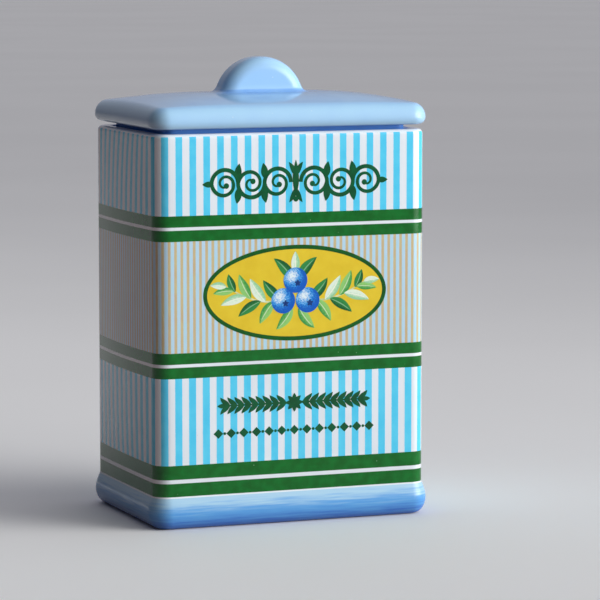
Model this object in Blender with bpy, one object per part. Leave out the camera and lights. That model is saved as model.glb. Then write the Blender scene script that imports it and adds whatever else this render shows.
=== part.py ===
"""Rectangular ceramic storage jar: a glazed body, a crowned lid with a half-disc knob, and a seal ring.

Metres, +Z up. The origin lies on the table under the middle of the jar. The broad walls face -Y and +Y,
and the lid, with the seal ring on its collar, lifts off along +Z.
"""

import math

import bmesh
import bpy

# Jar body, outside
BODY_WIDTH = 0.120
BODY_DEPTH = 0.081
BODY_HEIGHT = 0.163
BODY_CORNER = 0.0065
RIM_ROUND = 0.0020

# The narrow walls bow out between base and rim, most in their middle
SIDE_BOW = 0.0014
BOW_ROUND_POWER = 2.0
BOW_UP_POWER = 4.0
BOW_SHARES = (0.06, 0.14, 0.26, 0.50, 0.74, 0.86, 0.94)

# Base band, which swells out of the walls above the table
BASE_LOWER = 0.0068
BASE_UPPER = 0.0072
BASE_SWELL = 0.0020
BASE_UNDERCUT = 0.0031
BASE_EASE = 1.25

# Foot ring under the floor
FOOT_WIDTH = 0.0055
FOOT_RECESS = 0.0012

# Jar body, inside
WALL = 0.0055
FLOOR = 0.0065
INNER_CORNER = 0.0055
FLOOR_FILLET = 0.0045

# Lid plate
LID_OVERHANG = 0.0013
LID_GAP = 0.0019
LID_EDGE_LOWER = 0.0030
LID_EDGE_UPPER = 0.0056
LID_EDGE_ROUND = 0.0052
LID_EDGE_TUCK = 0.0026
LID_CROWN = 0.0044
LID_WALL = 0.0062
CROWN_POWER_LONG = 4.0
CROWN_POWER_SHORT = 2.5

# Collar under the lid, which drops into the mouth
COLLAR_CLEARANCE = 0.0010
COLLAR_WALL = 0.0045
COLLAR_LIP = 0.0030
COLLAR_FILLET = 0.0008

# Seal ring and the groove that holds it, its depth measured down from the rim
SEAL_TOP = 0.0034
SEAL_HEIGHT = 0.0060
SEAL_BAND = 0.0010
GROOVE_DEPTH = 0.0016
FINS = 2
FIN_ROOT = 0.0011
FIN_TIP = 0.0005
FIN_RISE = 0.0009

# Knob, the top of an upright disc
KNOB_RADIUS = 0.0189
KNOB_HEIGHT = 0.0148
KNOB_THICKNESS = 0.0160
KNOB_ROUND = 0.0056

# Air left between two pieces that touch on the real jar
SEAT_GAP = 0.0003

# Fineness of the rounded forms
CORNER_STEPS = 7
ARC_STEPS = 5
KNOB_STEPS = 56
LID_SIDE_POINTS = (9, 6)
BODY_SIDE_POINTS = (0, 5)
LEAST_CORNER = 0.0004
CROWN_SHARES = (0.94, 0.86, 0.76, 0.64, 0.50, 0.34, 0.17)
ROOF_SHARES = (0.80, 0.55, 0.28)


class Outline:
    """A rounded rectangle seen from above, centred on the jar's axis.

    side_points says how many points lie along each long and each short side, where the form curves.
    """

    def __init__(self, half_width, half_depth, corner, side_points=(0, 0)):
        self.half_width = half_width
        self.half_depth = half_depth
        self.corner = max(corner, LEAST_CORNER)
        self.side_points = side_points

    def inset(self, distance):
        """The same outline, moved inwards all round by a distance."""
        return Outline(
            self.half_width - distance,
            self.half_depth - distance,
            self.corner - distance,
            self.side_points,
        )

    def row(self, z, share=1.0):
        """Its points at height z, drawn towards the axis to a share of their distance."""
        straight_x = self.half_width - self.corner
        straight_y = self.half_depth - self.corner
        corners = ((1, 1), (-1, 1), (-1, -1), (1, -1))
        points = []
        for quarter, (side_x, side_y) in enumerate(corners):
            for step in range(CORNER_STEPS + 1):
                angle = math.pi / 2 * (quarter + step / CORNER_STEPS)
                x = side_x * straight_x + self.corner * math.cos(angle)
                y = side_y * straight_y + self.corner * math.sin(angle)
                points.append((x, y))
            next_x, next_y = corners[(quarter + 1) % 4]
            run = (next_x - side_x) * straight_x, (next_y - side_y) * straight_y
            count = self.side_points[quarter % 2]
            for step in range(1, count + 1):
                part = step / (count + 1)
                points.append((x + run[0] * part, y + run[1] * part))
        return [(x * share, y * share, z) for x, y in points]


def arc(centre_across, centre_z, reach_across, reach_z, start, end, steps=ARC_STEPS):
    """Points (distance across, height) along part of an ellipse, its angles in degrees."""
    points = []
    for step in range(steps + 1):
        angle = math.radians(start + (end - start) * step / steps)
        across = centre_across + reach_across * math.cos(angle)
        points.append((across, centre_z + reach_z * math.sin(angle)))
    return points


def remove_startup_objects():
    """Empties the scene of what Blender starts with."""
    for thing in list(bpy.data.objects):
        bpy.data.objects.remove(thing, do_unlink=True)


def material(name, colour, roughness, transmission=0.0):
    """A plain finish: colour in linear RGB, and how rough and how clear it is."""
    finish = bpy.data.materials.new(name)
    finish.use_nodes = True
    finish.diffuse_color = (*colour, 1.0)
    shader = finish.node_tree.nodes["Principled BSDF"]
    shader.inputs["Base Color"].default_value = (*colour, 1.0)
    shader.inputs["Roughness"].default_value = roughness
    shader.inputs["Metallic"].default_value = 0.0
    shader.inputs["Transmission Weight"].default_value = transmission
    return finish


def add_walls(shape, rings):
    """Joins each ring of corners to the next with a band of four-sided faces."""
    for lower, upper in zip(rings, rings[1:]):
        for here in range(len(lower)):
            after = (here + 1) % len(lower)
            shape.faces.new((lower[here], lower[after], upper[after], upper[here]))


def add_cap(shape, ring, z):
    """Closes a ring of corners with a fan of faces round one point on the axis."""
    middle = shape.verts.new((0.0, 0.0, z))
    for here in range(len(ring)):
        shape.faces.new((ring[here], ring[(here + 1) % len(ring)], middle))


def finish_object(name, shape, finishes, sharp_degrees=40):
    """Makes the object from its faces, all facing out and shaded smooth but for true edges."""
    bmesh.ops.recalc_face_normals(shape, faces=shape.faces)
    mesh = bpy.data.meshes.new(name)
    shape.to_mesh(mesh)
    shape.free()
    mesh.shade_smooth()
    mesh.set_sharp_from_angle(angle=math.radians(sharp_degrees))
    for finish in finishes:
        mesh.materials.append(finish)
    made = bpy.data.objects.new(name, mesh)
    bpy.context.scene.collection.objects.link(made)
    return made


def solid_of_rows(name, rows, cap_heights, finishes):
    """A closed form through rows of points, its first and last row capped on the axis."""
    shape = bmesh.new()
    rings = [[shape.verts.new(point) for point in row] for row in rows]
    add_walls(shape, rings)
    add_cap(shape, rings[0], cap_heights[0])
    add_cap(shape, rings[-1], cap_heights[1])
    return finish_object(name, shape, finishes)


def ring_of_rows(name, rows, finishes):
    """A closed ring whose section goes once round through the rows."""
    shape = bmesh.new()
    rings = [[shape.verts.new(point) for point in row] for row in rows]
    add_walls(shape, rings + rings[:1])
    return finish_object(name, shape, finishes)


def body_outline():
    return Outline(BODY_WIDTH / 2, BODY_DEPTH / 2, BODY_CORNER, BODY_SIDE_POINTS)


def bowed(row, share):
    """The row with its narrow sides bowed out, at a share of the way from the base to the rim."""
    straight = BODY_DEPTH / 2 - BODY_CORNER
    up = 1 - abs(2 * share - 1) ** BOW_UP_POWER
    points = []
    for x, y, z in row:
        across = 1 - min(abs(y) / straight, 1.0) ** BOW_ROUND_POWER
        points.append((x + math.copysign(SIDE_BOW * across * up, x), y, z))
    return points


def mouth_outline(side_points=(0, 0)):
    """The inside of the walls, which the collar and the seal ring are sized from."""
    return Outline(BODY_WIDTH / 2 - WALL, BODY_DEPTH / 2 - WALL, INNER_CORNER, side_points)


def lid_outline():
    edge = body_outline().inset(-LID_OVERHANG)
    edge.side_points = LID_SIDE_POINTS
    return edge


def base_profile():
    """(Inset from the wall, height) from the foot out to the widest part and in to the wall."""
    reach = BASE_SWELL + BASE_UNDERCUT
    points = arc(BASE_UNDERCUT, BASE_LOWER, -reach, BASE_LOWER, -90, 0)
    for step in range(1, ARC_STEPS + 1):
        share = step / ARC_STEPS
        swell = BASE_SWELL * (1 - share**2) ** BASE_EASE
        points.append((-swell, BASE_LOWER + BASE_UPPER * share))
    return points


def make_jar_body(glaze, base_glaze):
    """The pot: foot ring, swelling base, upright walls, rounded rim and the hollow inside."""
    outer = body_outline()
    inner = mouth_outline(BODY_SIDE_POINTS)
    rim_round = min(RIM_ROUND, WALL * 0.45)
    foot_inner = BASE_UNDERCUT + FOOT_WIDTH
    rows = [outer.inset(foot_inner + FOOT_RECESS).row(FOOT_RECESS)]
    rows.append(outer.inset(foot_inner).row(0.0))
    rows += [outer.inset(inset).row(z) for inset, z in base_profile()]
    base_rows = len(rows)
    shoulder = BODY_HEIGHT - rim_round
    base_top = BASE_LOWER + BASE_UPPER
    for share in BOW_SHARES:
        flat = outer.row(base_top + (shoulder - base_top) * share)
        rows.append(bowed(flat, share))
    rows += [
        outer.inset(inset).row(z)
        for inset, z in arc(rim_round, shoulder, -rim_round, rim_round, 0, 90)
    ]
    rows += [
        inner.inset(-outset).row(z)
        for outset, z in arc(rim_round, shoulder, -rim_round, rim_round, 90, 0)
    ]
    fillet_z = FLOOR + FLOOR_FILLET
    rows += [
        inner.inset(inset).row(z)
        for inset, z in arc(FLOOR_FILLET, fillet_z, -FLOOR_FILLET, FLOOR_FILLET, 0, -90)
    ]
    body = solid_of_rows("jar_body", rows, (FOOT_RECESS, FLOOR), (glaze, base_glaze))
    base_faces = (base_rows - 1) * len(rows[0])
    for face in body.data.polygons[:base_faces]:
        face.material_index = 1
    return body


def crown_height(x, y):
    """How far the lid's top stands above its edge: flat along the middle, falling to the sides."""
    lid = lid_outline()
    along = 1 - min(abs(x) / lid.half_width, 1.0) ** CROWN_POWER_LONG
    across = 1 - min(abs(y) / lid.half_depth, 1.0) ** CROWN_POWER_SHORT
    return LID_CROWN * along * across


def crowned(row):
    """The row's points, each raised by the crown above its own place."""
    return [(x, y, z + crown_height(x, y)) for x, y, z in row]


def collar_profile():
    """(Inset from the mouth, height above the rim) up the collar's outside, with the seal's groove."""
    groove_top = -SEAL_TOP
    groove_bottom = groove_top - SEAL_HEIGHT
    lip_round = min(COLLAR_LIP, COLLAR_WALL) * 0.4
    end = groove_bottom - COLLAR_LIP
    outside = COLLAR_CLEARANCE
    inside = COLLAR_CLEARANCE + COLLAR_WALL
    points = arc(inside - lip_round, end + lip_round, lip_round, lip_round, 0, -90, 3)
    points += arc(outside + lip_round, end + lip_round, lip_round, lip_round, 270, 180, 3)
    points.append((outside, groove_bottom))
    points.append((outside + GROOVE_DEPTH, groove_bottom))
    points.append((outside + GROOVE_DEPTH, groove_top))
    points.append((outside, groove_top))
    fillet_z = LID_GAP - COLLAR_FILLET
    points += arc(outside - COLLAR_FILLET, fillet_z, COLLAR_FILLET, COLLAR_FILLET, 0, 90, 3)
    return points


def make_lid(glaze, knob):
    """Collar, bullnose edge and crowned top, from the roof of its hollow round to the middle."""
    lid = lid_outline()
    mouth = mouth_outline(LID_SIDE_POINTS)
    hollow = mouth.inset(COLLAR_CLEARANCE + COLLAR_WALL)
    edge_top = LID_GAP + LID_EDGE_LOWER + LID_EDGE_UPPER
    roof = edge_top - LID_WALL
    rows = [crowned(hollow.row(roof, share)) for share in reversed(ROOF_SHARES)]
    rows.append(crowned(hollow.row(roof)))
    rows += [mouth.inset(inset).row(z) for inset, z in collar_profile()]
    middle = LID_GAP + LID_EDGE_LOWER
    rows += [
        lid.inset(inset).row(z)
        for inset, z in arc(LID_EDGE_TUCK, middle, -LID_EDGE_TUCK, LID_EDGE_LOWER, -90, 0)
    ]
    upper = arc(LID_EDGE_ROUND, middle, -LID_EDGE_ROUND, LID_EDGE_UPPER, 0, 90)
    rows += [crowned(lid.inset(inset).row(z)) for inset, z in upper[1:]]
    top = lid.inset(LID_EDGE_ROUND)
    rows += [crowned(top.row(edge_top, share)) for share in CROWN_SHARES]
    made = solid_of_rows("lid", rows, (roof + LID_CROWN, edge_top + LID_CROWN), (glaze,))
    joined = made.modifiers.new("knob", "BOOLEAN")
    joined.operation = "UNION"
    joined.solver = "EXACT"
    joined.object = knob
    return made


def make_knob_form(glaze):
    """The knob before it is joined to the lid: a rounded disc on edge, cut off inside the plate."""
    crown_top = LID_GAP + LID_EDGE_LOWER + LID_EDGE_UPPER + LID_CROWN
    centre_z = crown_top + KNOB_HEIGHT - KNOB_RADIUS
    half = KNOB_THICKNESS / 2
    edge_round = min(KNOB_ROUND, half * 0.95)
    profile = arc(KNOB_RADIUS - edge_round, half - edge_round, edge_round, edge_round, 90, 0)
    profile += arc(KNOB_RADIUS - edge_round, edge_round - half, edge_round, edge_round, 0, -90)
    shape = bmesh.new()
    rings = []
    for step in range(KNOB_STEPS):
        angle = 2 * math.pi * step / KNOB_STEPS
        across = math.cos(angle)
        up = math.sin(angle)
        rings.append(
            [shape.verts.new((r * across, y, centre_z + r * up)) for r, y in profile]
        )
    for step, ring in enumerate(rings):
        after = rings[(step + 1) % KNOB_STEPS]
        for here in range(len(profile) - 1):
            shape.faces.new((ring[here], ring[here + 1], after[here + 1], after[here]))
    for end in (0, -1):
        shape.faces.new([ring[end] for ring in rings])
    cut = bmesh.ops.bisect_plane(
        shape,
        geom=shape.verts[:] + shape.edges[:] + shape.faces[:],
        dist=1e-7,
        plane_co=(0.0, 0.0, crown_top - LID_WALL / 2),
        plane_no=(0.0, 0.0, -1.0),
        clear_outer=True,
    )
    edges = [piece for piece in cut["geom_cut"] if isinstance(piece, bmesh.types.BMEdge)]
    bmesh.ops.contextual_create(shape, geom=edges)
    knob = finish_object("knob_form", shape, (glaze,))
    knob.hide_render = True
    knob.display_type = "WIRE"
    return knob


def seal_profile():
    """(Inset from the mouth, height above the rim) once round the ring, with two fins that lean up."""
    back = COLLAR_CLEARANCE + GROOVE_DEPTH - SEAT_GAP
    front = back - SEAL_BAND
    tip = SEAT_GAP
    top = -SEAL_TOP - SEAT_GAP
    bottom = -SEAL_TOP - SEAL_HEIGHT + SEAT_GAP
    points = [(back, bottom), (front, bottom)]
    pitch = (top - bottom) / FINS
    for fin in range(FINS):
        root = bottom + pitch * fin + (pitch - FIN_ROOT) / 2
        points.append((front, root))
        points.append((tip, root + FIN_RISE))
        points.append((tip, root + FIN_RISE + FIN_TIP))
        points.append((front, root + FIN_ROOT))
    points += [(front, top), (back, top)]
    return points


def make_seal_ring(silicone):
    mouth = mouth_outline()
    rows = [mouth.inset(inset).row(z) for inset, z in seal_profile()]
    return ring_of_rows("seal_ring", rows, (silicone,))


def main():
    remove_startup_objects()
    pale_glaze = material("pale_glaze", (0.76, 0.80, 0.90), 0.16)
    base_glaze = material("base_glaze", (0.16, 0.34, 0.72), 0.14)
    lid_glaze = material("lid_glaze", (0.33, 0.57, 0.88), 0.14)
    silicone = material("clear_silicone", (0.80, 0.82, 0.82), 0.45, 0.35)
    make_jar_body(pale_glaze, base_glaze)
    knob = make_knob_form(lid_glaze)
    lid = make_lid(lid_glaze, knob)
    seal = make_seal_ring(silicone)
    lift = bpy.data.objects.new("lid_lift", None)
    lift.location = (0.0, 0.0, BODY_HEIGHT)
    bpy.context.scene.collection.objects.link(lift)
    for piece in (lid, seal, knob):
        piece.parent = lift


main()
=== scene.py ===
# %% [markdown]
# # A rectangular ceramic storage jar
#
# The real jar is cast stoneware, about 19 cm tall: a four-sided body with rounded corners, a
# swelling blue base, and a blue lid with a half-disc knob. A glossy clear glaze lies over
# everything, and the walls carry a printed transfer of stripes, green bands and an oval picture.
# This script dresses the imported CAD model, whose three parts give every size and place. All
# numbers are in metres.

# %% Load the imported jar
import math

import bpy
import numpy as np
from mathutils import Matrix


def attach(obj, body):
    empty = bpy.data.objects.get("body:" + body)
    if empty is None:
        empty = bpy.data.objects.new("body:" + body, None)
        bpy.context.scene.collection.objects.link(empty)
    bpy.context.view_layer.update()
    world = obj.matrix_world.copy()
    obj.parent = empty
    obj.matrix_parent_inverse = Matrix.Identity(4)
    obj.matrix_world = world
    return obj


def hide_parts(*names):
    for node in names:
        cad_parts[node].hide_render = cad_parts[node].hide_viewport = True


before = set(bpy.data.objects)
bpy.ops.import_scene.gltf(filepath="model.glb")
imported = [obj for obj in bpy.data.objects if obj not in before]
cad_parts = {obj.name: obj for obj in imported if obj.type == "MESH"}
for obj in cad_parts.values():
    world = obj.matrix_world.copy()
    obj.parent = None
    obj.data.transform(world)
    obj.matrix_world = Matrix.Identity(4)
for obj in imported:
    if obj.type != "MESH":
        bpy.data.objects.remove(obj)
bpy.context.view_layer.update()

# %% [markdown]
# ## The camera
#
# The jar was photographed with a long lens, from a little to its left and just above it. A long
# lens keeps the upright edges nearly parallel. The place, turn and lens below were worked out from
# the photograph: the green bands are level lines all round the jar, so their slopes on two walls
# say where the camera stood.

# %% Camera at the photograph's angle
CAMERA_PLACE = (-0.51123, -1.35606, 0.24951)
CAMERA_TURN = math.radians(-21.344)
CAMERA_TILT = math.radians(90 - 6.314)
LENS_MM = 205.7


def put_in_scene(name, data):
    """A new object that shows this mesh, lamp or camera."""
    made = bpy.data.objects.new(name, data)
    bpy.context.scene.collection.objects.link(made)
    return made


camera_data = bpy.data.cameras.new("camera")
camera_data.lens, camera_data.sensor_width = LENS_MM, 36.0
camera = put_in_scene("camera", camera_data)
camera.location = CAMERA_PLACE
camera.rotation_euler = (CAMERA_TILT, 0.0, CAMERA_TURN)
bpy.context.scene.camera = camera
print("camera stands", round(math.dist(CAMERA_PLACE, (0, 0, 0.09)), 3), "m from the jar")

# %% [markdown]
# ## Colours
#
# Colours are easiest to read as the six-figure codes that paint programs show. Blender's shaders
# want linear light instead, so a small helper turns a code into linear red, green and blue.


# %% A colour code as linear light
def tint(code):
    """Linear red, green, blue and full alpha of a colour written as six hexadecimal figures."""
    shown = [int(code[i : i + 2], 16) / 255 for i in (0, 2, 4)]
    light = [c / 12.92 if c <= 0.04045 else ((c + 0.055) / 1.055) ** 2.4 for c in shown]
    return (*light, 1.0)


print("a mid grey of 808080 is", round(tint("808080")[0], 3), "in linear light")

# %% [markdown]
# ## Short ways to write a node material
#
# Every finish here is drawn with shader nodes, so it stays sharp at any distance and needs no
# picture file. Written out in full, a node tree takes pages. The class below adds a node, sets it
# and joins it up in one line.


# %% The Finish helper
class Finish:
    """A node material, with short ways to add nodes and feed its shader."""

    def __init__(self, name, **sockets):
        self.material = bpy.data.materials.new(name)
        self.material.use_nodes = True
        self.tree = self.material.node_tree
        self.shader = self.tree.nodes["Principled BSDF"]
        for socket, value in sockets.items():
            self.set(socket.replace("_", " "), value)

    def feed(self, socket, value):
        """A socket takes another node's output, a plain number or a colour's code."""
        if isinstance(value, bpy.types.NodeSocket):
            self.tree.links.new(value, socket)
        elif value is not None:
            socket.default_value = tint(value) if isinstance(value, str) else value

    def set(self, name, value):
        self.feed(self.shader.inputs[name], value)

    def add(self, kind, *values, **settings):
        node = self.tree.nodes.new("ShaderNode" + kind)
        for name, value in settings.items():
            setattr(node, name, value)
        for socket, value in zip(node.inputs, values):
            self.feed(socket, value)
        return node

    def math(self, operation, *values):
        return self.add("Math", *values, operation=operation).outputs[0]

    def mix(self, share, first, second):
        """The first colour where share is 0, the second where it is 1."""
        node = self.add("Mix", share, data_type="RGBA")
        self.feed(node.inputs[6], first)
        self.feed(node.inputs[7], second)
        return node.outputs[2]

    def ramp(self, value, start, end, low=0.0, high=1.0):
        """Goes smoothly from low to high while value goes from start to end."""
        ends = start, end, low, high
        return self.add("MapRange", value, *ends, interpolation_type="SMOOTHSTEP").outputs[0]

    def bump(self, heights, depth, under=None):
        """A surface that rises and falls by depth, over an earlier bump if there is one."""
        node = self.add("Bump", 1.0, depth)
        self.feed(node.inputs["Height"], heights)
        self.feed(node.inputs["Normal"], under)
        return node.outputs[0]

    def place(self):
        """Where a point of the surface is, in metres from the jar's origin."""
        return self.add("TexCoord").outputs["Object"]

    def noise(self, size, detail=2.0, stretch=(1, 1, 1)):
        """Soft random patches of about this size, from 0 to 1."""
        spot = self.add("VectorMath", self.place(), stretch, operation="MULTIPLY").outputs[0]
        return self.add("TexNoise", spot, None, 1 / size, detail).outputs[0]


# %% [markdown]
# ## What all the glaze shares
#
# A glossy glaze is never a perfect mirror. It flowed while molten, so it has long shallow waves
# that bend a reflection, a very fine skin like orange peel, and a few pinholes where gas escaped.
# The waves and the skin are two Bump nodes, one over the other, and the gloss varies a little.


# %% The glaze's skin
GLOSS = (0.08, 0.15)
SHINE = dict(IOR=1.5, Specular_IOR_Level=0.32)
WAVE_SIZE = 0.030
WAVE_HEIGHT = 0.00007
SKIN_SIZE = 0.0016
SKIN_HEIGHT = 0.0000022
GLOSS_PATCH = 0.012
PINHOLE_CELL = 0.0042
PINHOLE_RADIUS = 0.00022
PINHOLE_SOFT = 0.02
CELLS_WITHOUT = 0.55


def fired(finish, colour):
    """The finish in its colour, with the waves, fine skin and uneven gloss of fired glaze."""
    finish.set("Base Color", colour)
    waves = finish.bump(finish.noise(WAVE_SIZE, 1.0), WAVE_HEIGHT)
    finish.set("Normal", finish.bump(finish.noise(SKIN_SIZE, 2.0), SKIN_HEIGHT, waves))
    finish.set("Roughness", finish.ramp(finish.noise(GLOSS_PATCH), 0.3, 0.7, *GLOSS))
    return finish


def pinholes(finish, colour, share, inside):
    """The colour with sparse tiny dots. Each cell draws a lot, and some get a dot."""
    cells = finish.add("TexVoronoi", finish.place(), None, 1 / PINHOLE_CELL)
    edge = PINHOLE_RADIUS / PINHOLE_CELL + PINHOLE_SOFT
    dot = finish.ramp(cells.outputs["Distance"], PINHOLE_SOFT, edge, 1.0, 0.0)
    lot = finish.add("SeparateColor", cells.outputs["Color"]).outputs[0]
    dots = finish.math("MULTIPLY", dot, finish.math("GREATER_THAN", lot, CELLS_WITHOUT))
    return finish.mix(finish.math("MULTIPLY", dots, share), colour, inside)


print("glaze waves are", WAVE_SIZE * 1000, "mm long and", WAVE_HEIGHT * 1e6, "micrometres high")

# %% [markdown]
# ## Rings round the jar
#
# Body, lid, knob and seal are all rounded rectangles seen from above. One way to make such a form
# is to draw ring after ring and join each ring to the next. Every ring here has the same number of
# points, in the same order, so any two can be joined: the lid's edge runs on into its collar, and
# its top up into the knob. The order starts in the middle of the back, where a seam is least seen.

# %% One pattern of points for every ring
CORNER_STEPS = 14
LONG_STEPS = 28
SHORT_STEPS = 18
LEAST_CORNER = 0.0002


def ring_pattern():
    """For each point: its share of the straight sides, and the direction round its corner."""
    pattern = []

    def side(steps, point):
        pattern.extend(point(2 * step / steps - 1) for step in range(1, steps))

    def corner(side_x, side_y, start):
        for step in range(CORNER_STEPS + 1):
            angle = math.radians(start + 90 * step / CORNER_STEPS)
            pattern.append((side_x, side_y, math.cos(angle), math.sin(angle)))

    half = LONG_STEPS // 2
    pattern.extend((-step / half, 1, 0, 1) for step in range(half))
    corner(-1, 1, 90)
    side(SHORT_STEPS, lambda t: (-1, -t, -1, 0))
    corner(-1, -1, 180)
    side(LONG_STEPS, lambda t: (t, -1, 0, -1))
    corner(1, -1, 270)
    side(SHORT_STEPS, lambda t: (1, t, 1, 0))
    corner(1, 1, 0)
    pattern.extend((1 - step / half, 1, 0, 1) for step in range(1, half))
    return np.array(pattern, float).T


SIDE_X, SIDE_Y, TURN_X, TURN_Y = ring_pattern()


def ring(half_x, half_y, corner, z):
    """The points of one rounded rectangle at height z."""
    corner = max(min(corner, half_x, half_y), LEAST_CORNER)
    x = SIDE_X * (half_x - corner) + TURN_X * corner
    y = SIDE_Y * (half_y - corner) + TURN_Y * corner
    return np.stack([x, y, np.full_like(x, z)], 1)


print("each ring has", len(SIDE_X), "points")

# %% [markdown]
# ## From rings to a skin
#
# `loft` joins neighbouring rings with four-sided faces and closes the ends with a fan, or joins
# the last ring to the first for a form like a tyre. It shades the faces smooth, but for true
# edges.


# %% Lofting
SHARP_EDGE = math.radians(50)


def make_piece(name, points, faces, marks, finishes):
    """A piece from points and faces, each face marked with the number of its finish."""
    mesh = bpy.data.meshes.new(name)
    mesh.from_pydata(points, [], faces)
    mesh.polygons.foreach_set("material_index", marks)
    for finish in finishes:
        mesh.materials.append(finish.material)
    return put_in_scene(name, mesh)


def loft(name, rings, finishes, ring_finish=None, caps=None):
    """A closed mesh through rings. caps: the heights of its end points, or None for a tyre."""
    count = len(rings[0])
    points = [tuple(point) for one in rings for point in one]
    faces, marks = [], []
    for here in range(len(rings) if caps is None else len(rings) - 1):
        low, high = here * count, (here + 1) % len(rings) * count
        for i in range(count):
            j = (i + 1) % count
            faces.append((low + i, low + j, high + j, high + i))
            marks.append(ring_finish[here] if ring_finish else 0)
    if caps is not None:
        for end, height in zip((0, len(rings) - 1), caps):
            points.append((*np.mean(rings[end][:, :2], axis=0), height))
            for i in range(count):
                fan = (end * count + i, end * count + (i + 1) % count, len(points) - 1)
                faces.append(fan if end else fan[::-1])
                marks.append(ring_finish[min(end, len(rings) - 2)] if ring_finish else 0)
    made = make_piece(name, points, faces, marks, finishes)
    made.data.shade_smooth()
    made.data.set_sharp_from_angle(angle=SHARP_EDGE)
    print(name, "has", len(faces), "faces")
    return made


def arc(across, up, reach_across, reach_up, start, end, steps=10):
    """Points (distance across, height) along part of an ellipse, its angles in degrees."""
    angles = np.radians(np.linspace(start, end, steps + 1))
    return list(zip(across + reach_across * np.cos(angles), up + reach_up * np.sin(angles)))


# %% [markdown]
# ## The body's finishes
#
# The pot is glazed white inside and out. Its base was brushed with blue glaze, and the brush left
# level streaks. The blue is deeper at the foot and paler at the top, partly as the glaze lies and
# partly as painted shade on the undercut and painted light where the swell turns up. The foot's
# flat ring and the underside stay bare, because a glazed foot would fuse to the kiln shelf. Each
# of the three is a finish of its own, set on its own rings of faces.

# %% White glaze
WHITE = "E2EDF6"
WHITE_WARM = "DDE8F1"
BASE_GLAZE_TOP = 0.0132


def white_ground(finish):
    """The white glaze's colour, a touch uneven and with pinholes."""
    even = finish.ramp(finish.noise(0.035), 0.35, 0.65)
    ground = finish.mix(even, WHITE, WHITE_WARM)
    return pinholes(finish, ground, 0.25, "9C9488")


white_glaze = Finish("white_glaze", **SHINE)
fired(white_glaze, white_ground(white_glaze))

# %% Brushed blue glaze on the base
# The deep tone holds painted shade on the undercut and the pale tone painted light on the upward
# swell, as well as the glaze's own depth.
BASE_DEEP_AND_SHADED = "3F77D6"
BASE_BLUE = "5CA4E6"
BASE_THIN_AND_LIT = "A8D2ED"

base_glaze = Finish("base_glaze", **SHINE)
height = base_glaze.add("SeparateXYZ", base_glaze.place()).outputs[2]
streaks = base_glaze.noise(0.0008, 4.0, stretch=(0.05, 0.05, 1.0))
ragged = base_glaze.math("MULTIPLY_ADD", streaks, 0.009, -0.0045)
level = base_glaze.math("ADD", height, ragged)
# Darker towards the foot as painted shade, paler towards the top as painted light.
blue = base_glaze.mix(base_glaze.ramp(level, 0.0, 0.007), BASE_DEEP_AND_SHADED, BASE_BLUE)
blue = base_glaze.mix(base_glaze.ramp(level, 0.006, 0.0125), blue, BASE_THIN_AND_LIT)
fired(base_glaze, blue)

# %% Bare fired clay
bare_clay = Finish("bare_clay")
grain = bare_clay.noise(0.0007, 4.0)
bare_clay.set("Base Color", bare_clay.mix(grain, "CFC4B2", "E6DED0"))
bare_clay.set("Roughness", bare_clay.ramp(grain, 0.2, 0.8, 0.75, 0.95))
bare_clay.set("Normal", bare_clay.bump(grain, 0.00003))
print("the blue glaze ends", BASE_GLAZE_TOP * 1000, "mm above the table")

# %% [markdown]
# ## The body
#
# The pot could be cut from a block with Booleans, but one section drawn once and carried round the
# jar gives smoother corners. The section starts under the floor, goes out over the foot ring, up
# the swollen base and the wall, over the rounded rim, and down inside to the floor. Distances
# across are measured inwards from the wall, so the same list works on the broad and the narrow
# sides.

# %% Section of the pot
WALL_X, WALL_Y, WALL_CORNER = 0.060, 0.0405, 0.0065
MOUTH_X, MOUTH_Y, MOUTH_CORNER = 0.0545, 0.0350, 0.0055
RIM_Z = 0.163
RIM_ROUND = 0.0020
BASE_TOP = 0.0140
SIDE_BOW = 0.0014
BASE_WIDEST_Z, BASE_UPPER, BASE_SWELL, BASE_UNDERCUT = 0.0068, 0.0072, 0.0020, 0.0031
BASE_LINE = (0.0134, 0.0137, BASE_TOP)
FOOT_INNER, FOOT_RECESS, FOOT_EDGE, FOOT_MARGIN = 0.0086, 0.0012, 0.0003, 0.0005
RECESS_RING = 0.022
FLOOR_Z, FLOOR_FILLET, FLOOR_CORNER = 0.0065, 0.0045, 0.0012
FLOOR_RINGS = (0.010, 0.018, 0.027)


def wall_ring(inset, z):
    """A ring on the pot's outside, moved inwards by inset. Its narrow sides bow out."""
    made = ring(WALL_X - inset, WALL_Y - inset, WALL_CORNER - inset, z)
    up = min(max((z - BASE_TOP) / (RIM_Z - RIM_ROUND - BASE_TOP), 0.0), 1.0)
    across = 1 - np.minimum(np.abs(made[:, 1]) / (WALL_Y - WALL_CORNER), 1) ** 2
    made[:, 0] += np.sign(made[:, 0]) * SIDE_BOW * across * (1 - abs(2 * up - 1) ** 4)
    return made


def mouth_ring(inset, z):
    """A ring on the pot's inside, moved inwards by inset."""
    return ring(MOUTH_X - inset, MOUTH_Y - inset, max(MOUTH_CORNER - inset, FLOOR_CORNER), z)


def swell_at(z):
    """How far the base stands out of the wall at height z, above its widest part."""
    share = (z - BASE_WIDEST_Z) / BASE_UPPER
    return BASE_SWELL * (1 - min(share, 1.0) ** 2) ** 1.25


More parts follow.
